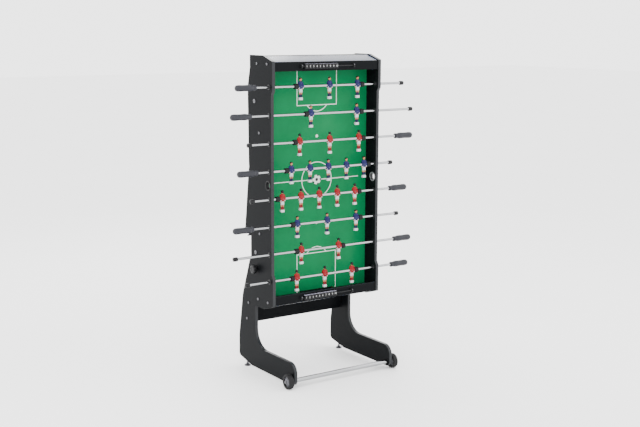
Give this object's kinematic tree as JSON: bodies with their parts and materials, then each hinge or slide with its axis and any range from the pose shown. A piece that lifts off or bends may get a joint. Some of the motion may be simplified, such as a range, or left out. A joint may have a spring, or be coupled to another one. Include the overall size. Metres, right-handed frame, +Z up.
{
  "type": "folding foosball table",
  "caption": "Folding football table stored upright: tipping cabinet with player rods on an L-legged base with two wheels, and a second pair of swing-out legs.",
  "frame": {"origin": "on the floor, in the middle of the table's width and depth", "axes": "+X along the rods to the right as seen by someone facing the players, +Y from the players to the back of the cabinet, +Z up"},
  "size_m": [1.054, 0.535, 1.564],
  "materials": {
    "black_laminate": "black laminate on particle board, satin",
    "green_field": "printed green playing surface, satin",
    "black_plastic": "moulded black plastic",
    "grey_plastic": "moulded dark plastic",
    "chrome": "polished",
    "steel": "zinc-plated fasteners",
    "blue_team": "painted blue team figures",
    "red_team": "painted red team figures",
    "black_rubber": "rubber bumpers"
  },
  "bodies": {
    "base": {"base_leg_left": "black_laminate", "base_leg_right": "black_laminate", "base_cross_panel": "black_laminate", "foot_bar": "chrome", "base_bolts": "steel"},
    "cabinet": {"side_panel_left": "black_laminate", "side_panel_right": "black_laminate", "end_boards": "black_laminate", "end_caps": "black_laminate", "playfield": "green_field", "goal_boxes": "black_plastic", "rod_bearings": "black_plastic", "hinge_cheeks": "black_laminate", "cabinet_bolts": "steel", "score_rails": "black_plastic"},
    "fold_legs": {"fold_leg_left": "black_laminate", "fold_leg_right": "black_laminate", "fold_cross_panel": "black_laminate"},
    "wheel_left": {"wheel_left": "black_plastic"},
    "lock_knob_left": {"lock_knob_left": "black_plastic"},
    "base_leveller_left": {"base_leveller_left": "grey_plastic"},
    "fold_leveller_left": {"fold_leveller_left": "grey_plastic"},
    "wheel_right": {"wheel_right": "black_plastic"},
    "lock_knob_right": {"lock_knob_right": "black_plastic"},
    "base_leveller_right": {"base_leveller_right": "grey_plastic"},
    "fold_leveller_right": {"fold_leveller_right": "grey_plastic"},
    "score_beads_upper": {"score_beads_upper": "black_plastic"},
    "score_beads_lower": {"score_beads_lower": "black_plastic"},
    "rod_1_slider": {"rod_1_bumpers": "black_rubber"},
    "rod_1": {"rod_1_tube": "chrome", "rod_1_players": "blue_team", "rod_1_grip": "grey_plastic"},
    "rod_2_slider": {"rod_2_bumpers": "black_rubber"},
    "rod_2": {"rod_2_tube": "chrome", "rod_2_players": "blue_team", "rod_2_grip": "grey_plastic"},
    "rod_3_slider": {"rod_3_bumpers": "black_rubber"},
    "rod_3": {"rod_3_tube": "chrome", "rod_3_players": "red_team", "rod_3_grip": "grey_plastic"},
    "rod_4_slider": {"rod_4_bumpers": "black_rubber"},
    "rod_4": {"rod_4_tube": "chrome", "rod_4_players": "blue_team", "rod_4_grip": "grey_plastic"},
    "rod_5_slider": {"rod_5_bumpers": "black_rubber"},
    "rod_5": {"rod_5_tube": "chrome", "rod_5_players": "red_team", "rod_5_grip": "grey_plastic"},
    "rod_6_slider": {"rod_6_bumpers": "black_rubber"},
    "rod_6": {"rod_6_tube": "chrome", "rod_6_players": "blue_team", "rod_6_grip": "grey_plastic"},
    "rod_7_slider": {"rod_7_bumpers": "black_rubber"},
    "rod_7": {"rod_7_tube": "chrome", "rod_7_players": "red_team", "rod_7_grip": "grey_plastic"},
    "rod_8_slider": {"rod_8_bumpers": "black_rubber"},
    "rod_8": {"rod_8_tube": "chrome", "rod_8_players": "red_team", "rod_8_grip": "grey_plastic"}
  },
  "joints": [
    {"name": "cabinet_tilt", "type": "hinge", "parent": "base", "child": "cabinet", "pos_m": [0, 0.055, 0.614], "axis": [-1, 0, 0], "range_deg": [0, 90]},
    {"name": "legs_fold", "type": "hinge", "parent": "cabinet", "child": "fold_legs", "pos_m": [0, 0.059, 1.347], "axis": [1, 0, 0], "range_deg": [0, 106.6]},
    {"name": "wheel_left_spin", "type": "hinge", "parent": "base", "child": "wheel_left", "pos_m": [-0.309, -0.233, 0.0365], "axis": [1, 0, 0], "continuous": true},
    {"name": "lock_knob_left_turn", "type": "hinge", "parent": "cabinet", "child": "lock_knob_left", "pos_m": [-0.325, 0.047, 0.533], "axis": [-1, 0, 0], "continuous": true},
    {"name": "base_leveller_left_travel", "type": "slide", "parent": "base", "child": "base_leveller_left", "axis": [0, 0, 1], "range_m": [-0.012, 0]},
    {"name": "fold_leveller_left_travel", "type": "slide", "parent": "fold_legs", "child": "fold_leveller_left", "axis": [0, 0.2864, 0.9581], "range_m": [-0.012, 0]},
    {"name": "wheel_right_spin", "type": "hinge", "parent": "base", "child": "wheel_right", "pos_m": [0.309, -0.233, 0.0365], "axis": [1, 0, 0], "continuous": true},
    {"name": "lock_knob_right_turn", "type": "hinge", "parent": "cabinet", "child": "lock_knob_right", "pos_m": [0.325, 0.047, 0.533], "axis": [1, 0, 0], "continuous": true},
    {"name": "base_leveller_right_travel", "type": "slide", "parent": "base", "child": "base_leveller_right", "axis": [0, 0, 1], "range_m": [-0.012, 0]},
    {"name": "fold_leveller_right_travel", "type": "slide", "parent": "fold_legs", "child": "fold_leveller_right", "axis": [0, 0.2864, 0.9581], "range_m": [-0.012, 0]},
    {"name": "score_beads_upper_slide", "type": "slide", "parent": "cabinet", "child": "score_beads_upper", "axis": [1, 0, 0], "range_m": [-0.01, 0.09]},
    {"name": "score_beads_lower_slide", "type": "slide", "parent": "cabinet", "child": "score_beads_lower", "axis": [1, 0, 0], "range_m": [-0.01, 0.09]},
    {"name": "rod_1_slide", "type": "slide", "parent": "cabinet", "child": "rod_1_slider", "axis": [1, 0, 0], "range_m": [-0.1189, 0.0669]},
    {"name": "rod_1_spin", "type": "hinge", "parent": "rod_1_slider", "child": "rod_1", "pos_m": [0, -0.075, 1.41825], "axis": [1, 0, 0], "continuous": true},
    {"name": "rod_2_slide", "type": "slide", "parent": "cabinet", "child": "rod_2_slider", "axis": [1, 0, 0], "range_m": [-0.1779, 0.0699]},
    {"name": "rod_2_spin", "type": "hinge", "parent": "rod_2_slider", "child": "rod_2", "pos_m": [0, -0.075, 1.28575], "axis": [1, 0, 0], "continuous": true},
    {"name": "rod_3_slide", "type": "slide", "parent": "cabinet", "child": "rod_3_slider", "axis": [1, 0, 0], "range_m": [-0.1081, 0.0559]},
    {"name": "rod_3_spin", "type": "hinge", "parent": "rod_3_slider", "child": "rod_3", "pos_m": [0, -0.075, 1.15325], "axis": [1, 0, 0], "continuous": true},
    {"name": "rod_4_slide", "type": "slide", "parent": "cabinet", "child": "rod_4_slider", "axis": [1, 0, 0], "range_m": [-0.0669, 0.0229]},
    {"name": "rod_4_spin", "type": "hinge", "parent": "rod_4_slider", "child": "rod_4", "pos_m": [0, -0.075, 1.02075], "axis": [1, 0, 0], "continuous": true},
    {"name": "rod_5_slide", "type": "slide", "parent": "cabinet", "child": "rod_5_slider", "axis": [1, 0, 0], "range_m": [-0.0159, 0.0779]},
    {"name": "rod_5_spin", "type": "hinge", "parent": "rod_5_slider", "child": "rod_5", "pos_m": [0, -0.075, 0.88825], "axis": [1, 0, 0], "continuous": true},
    {"name": "rod_6_slide", "type": "slide", "parent": "cabinet", "child": "rod_6_slider", "axis": [1, 0, 0], "range_m": [-0.1009, 0.0689]},
    {"name": "rod_6_spin", "type": "hinge", "parent": "rod_6_slider", "child": "rod_6", "pos_m": [0, -0.075, 0.75575], "axis": [1, 0, 0], "continuous": true},
    {"name": "rod_7_slide", "type": "slide", "parent": "cabinet", "child": "rod_7_slider", "axis": [1, 0, 0], "range_m": [-0.1081, 0.1739]},
    {"name": "rod_7_spin", "type": "hinge", "parent": "rod_7_slider", "child": "rod_7", "pos_m": [0, -0.075, 0.62325], "axis": [1, 0, 0], "continuous": true},
    {"name": "rod_8_slide", "type": "slide", "parent": "cabinet", "child": "rod_8_slider", "axis": [1, 0, 0], "range_m": [-0.0921, 0.0919]},
    {"name": "rod_8_spin", "type": "hinge", "parent": "rod_8_slider", "child": "rod_8", "pos_m": [0, -0.075, 0.49075], "axis": [1, 0, 0], "continuous": true}
  ]
}
